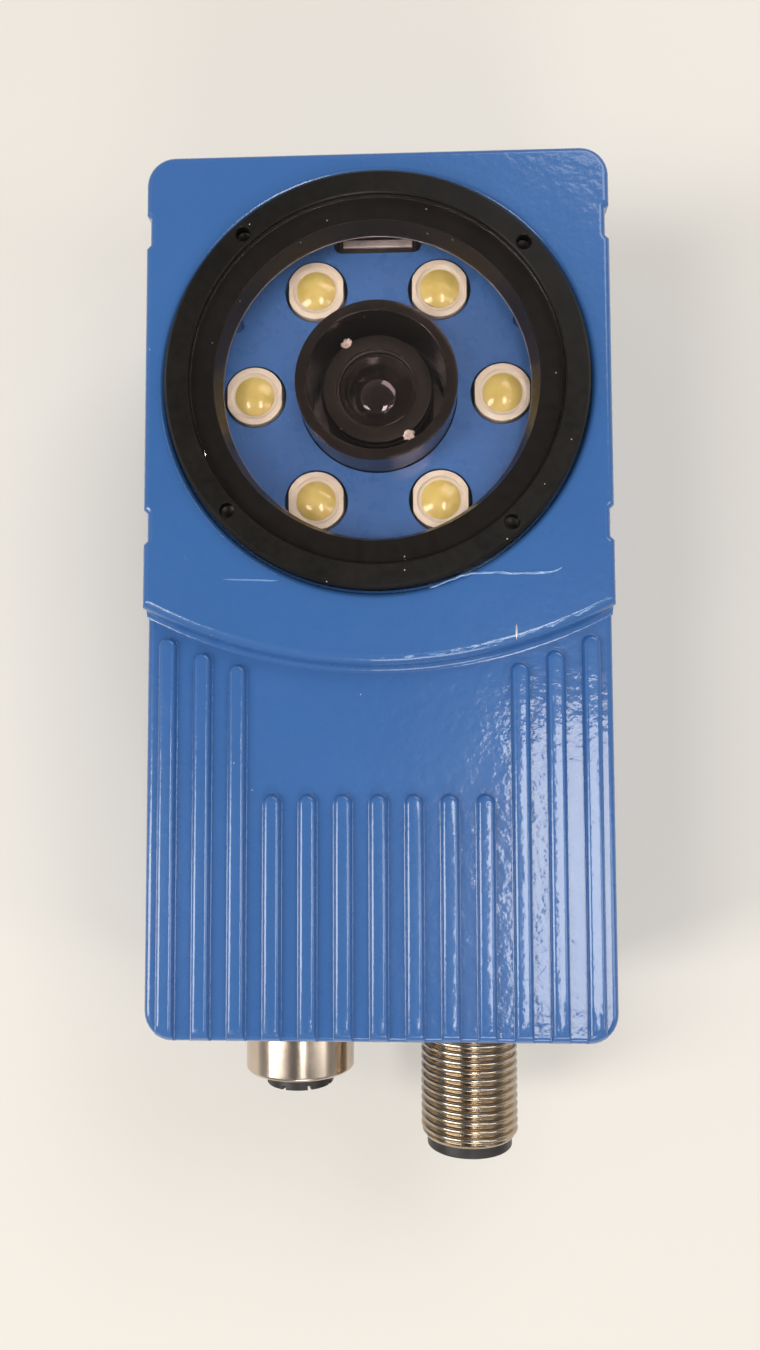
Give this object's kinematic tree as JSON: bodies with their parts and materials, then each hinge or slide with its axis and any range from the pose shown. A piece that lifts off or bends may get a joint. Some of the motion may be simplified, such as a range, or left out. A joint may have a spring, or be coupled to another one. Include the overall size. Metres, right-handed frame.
{
  "type": "machine vision camera",
  "caption": "Compact machine vision camera: finned cast housing, round lit window over an adjustable lens, and two round threaded connectors for power and network.",
  "frame": {"origin": "centre of the four tapped mounting holes, in the plane of the rear face", "axes": "+Z out through the window, +Y along the housing towards the window end, -Y out through the connectors"},
  "size_m": [0.053, 0.1176, 0.038],
  "materials": {
    "blue_enamel": "gloss blue enamel on die-cast aluminium, fine orange peel, worn at the edges",
    "black_anodised": "satin black anodised aluminium",
    "window_glass": "clear hardened glass, polished",
    "black_rubber": "matt black sealing rubber",
    "bright_steel": "plain stainless steel",
    "nickel_plate": "nickel plated brass, turned",
    "black_moulding": "matt black moulded plastic",
    "board_green": "glass fibre circuit board with green resist",
    "lamp_white": "white moulded lamp body",
    "lamp_phosphor": "yellow phosphor under clear silicone",
    "chip_black": "black moulded chip package",
    "gold_contact": "gold plated brass",
    "plain_aluminium": "machined aluminium",
    "thermal_grey": "soft grey heat-conducting pad",
    "flex_amber": "amber flexible flat cable",
    "lens_glass": "coated optical glass",
    "sensor_die": "ceramic package with an image chip"
  },
  "bodies": {
    "housing": {"front_housing": "blue_enamel", "rear_cover": "blue_enamel", "cover_gasket": "black_rubber", "cover_screws": "bright_steel", "window_ring": "black_anodised", "window_glass": "window_glass", "window_gasket": "black_rubber", "light_baffle": "black_anodised", "led_board": "board_green", "led_board_screws": "bright_steel", "led_plug": "black_moulding", "led_flex": "flex_amber", "guide_rod_left": "bright_steel", "guide_rod_right": "bright_steel", "optics_frame": "plain_aluminium", "frame_screws": "bright_steel", "sensor_board": "board_green", "sensor_board_screws": "bright_steel", "image_sensor": "sensor_die", "sensor_glass": "lens_glass", "sensor_flex": "flex_amber", "processor_board": "board_green", "processor_board_screws": "bright_steel", "processor_chip": "chip_black", "thermal_pad": "thermal_grey", "memory_chips": "chip_black", "plug_shell": "nickel_plate", "plug_insert": "black_moulding", "plug_pins": "gold_contact", "socket_sleeve": "nickel_plate", "socket_insert": "black_moulding", "socket_contacts": "gold_contact", "connector_gaskets": "black_rubber", "connector_bracket": "bright_steel", "bracket_screws": "bright_steel", "io_board": "board_green", "io_board_standoffs": "nickel_plate", "io_board_screws": "bright_steel", "board_header": "black_moulding", "led_body_1": "lamp_white", "led_dome_1": "lamp_phosphor", "led_body_2": "lamp_white", "led_dome_2": "lamp_phosphor", "led_body_3": "lamp_white", "led_dome_3": "lamp_phosphor", "led_body_4": "lamp_white", "led_dome_4": "lamp_phosphor", "led_body_5": "lamp_white", "led_dome_5": "lamp_phosphor", "led_body_6": "lamp_white", "led_dome_6": "lamp_phosphor"},
    "focus_screw": {"focus_screw": "bright_steel", "focus_seal": "black_rubber", "focus_clip": "bright_steel"},
    "lens_carriage": {"lens_carriage": "plain_aluminium", "lens_barrel": "black_anodised", "lens_retainer": "black_anodised", "front_lens": "lens_glass", "rear_lens": "lens_glass"}
  },
  "joints": [
    {"name": "focus_turn", "type": "hinge", "parent": "housing", "child": "focus_screw", "pos_m": [0, 0.01065, 0], "axis": [0, 0, 1], "range_deg": [-726, 726]},
    {"name": "focus_slide", "type": "slide", "parent": "housing", "child": "lens_carriage", "axis": [0, 0, 1], "range_m": [-0.001, 0.001]}
  ],
  "couplings": [
    {"joint": "focus_turn", "follows": "focus_slide", "rad_per_m": -12566}
  ]
}
